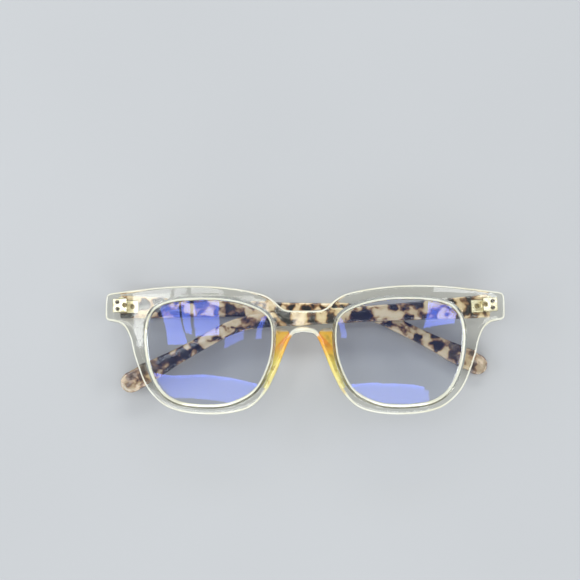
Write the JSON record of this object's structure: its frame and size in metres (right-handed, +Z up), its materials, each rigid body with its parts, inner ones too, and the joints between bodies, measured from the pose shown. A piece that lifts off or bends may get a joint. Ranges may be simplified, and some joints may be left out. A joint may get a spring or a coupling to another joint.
{
  "type": "blue light glasses",
  "caption": "Full-rim glasses with a clear crystal front, blue-reflecting lenses, amber nose pads and tortoiseshell temples, folded and lying face up.",
  "frame": {"origin": "centre of the underside of the folded glasses, on the surface they lie on", "axes": "+X towards the viewer's right across the front, +Y towards the brow, +Z up out of the lens fronts"},
  "size_m": [0.1466, 0.0466, 0.0196],
  "materials": {
    "crystal": "polished clear champagne crystal",
    "lens": "clear with a blue-violet anti-reflection coat",
    "amber": "polished translucent amber",
    "tortoiseshell": "polished, cream, amber and dark brown patches",
    "hinge_metal": "pale gold plated",
    "pin_metal": "dark plain steel"
  },
  "bodies": {
    "front": {"front_frame": "crystal", "lens_right": "lens", "lens_left": "lens", "nose_pad_right": "amber", "nose_pad_left": "amber", "front_hinge_leaf_right": "hinge_metal", "front_hinge_leaf_left": "hinge_metal", "leaf_pin_upper_right": "pin_metal", "leaf_pin_lower_right": "pin_metal", "leaf_pin_upper_left": "pin_metal", "leaf_pin_lower_left": "pin_metal", "hinge_screw_right": "hinge_metal", "hinge_screw_left": "hinge_metal"},
    "right_temple": {"temple_right": "tortoiseshell", "temple_hinge_leaf_right": "hinge_metal", "temple_rivet_right": "hinge_metal"},
    "left_temple": {"temple_left": "tortoiseshell", "temple_hinge_leaf_left": "hinge_metal", "temple_rivet_left": "hinge_metal"}
  },
  "joints": [
    {"name": "right_temple_fold", "type": "hinge", "parent": "front", "child": "right_temple", "pos_m": [0.06807, 0.01692, 0.00983], "axis": [0.0262, -0.9997, 0.0009], "range_deg": [0, 94]},
    {"name": "left_temple_fold", "type": "hinge", "parent": "left_temple", "child": "front", "pos_m": [-0.06785, 0.01692, 0.0052], "axis": [0.0262, -0.9997, 0.0009], "range_deg": [0, 91]}
  ]
}
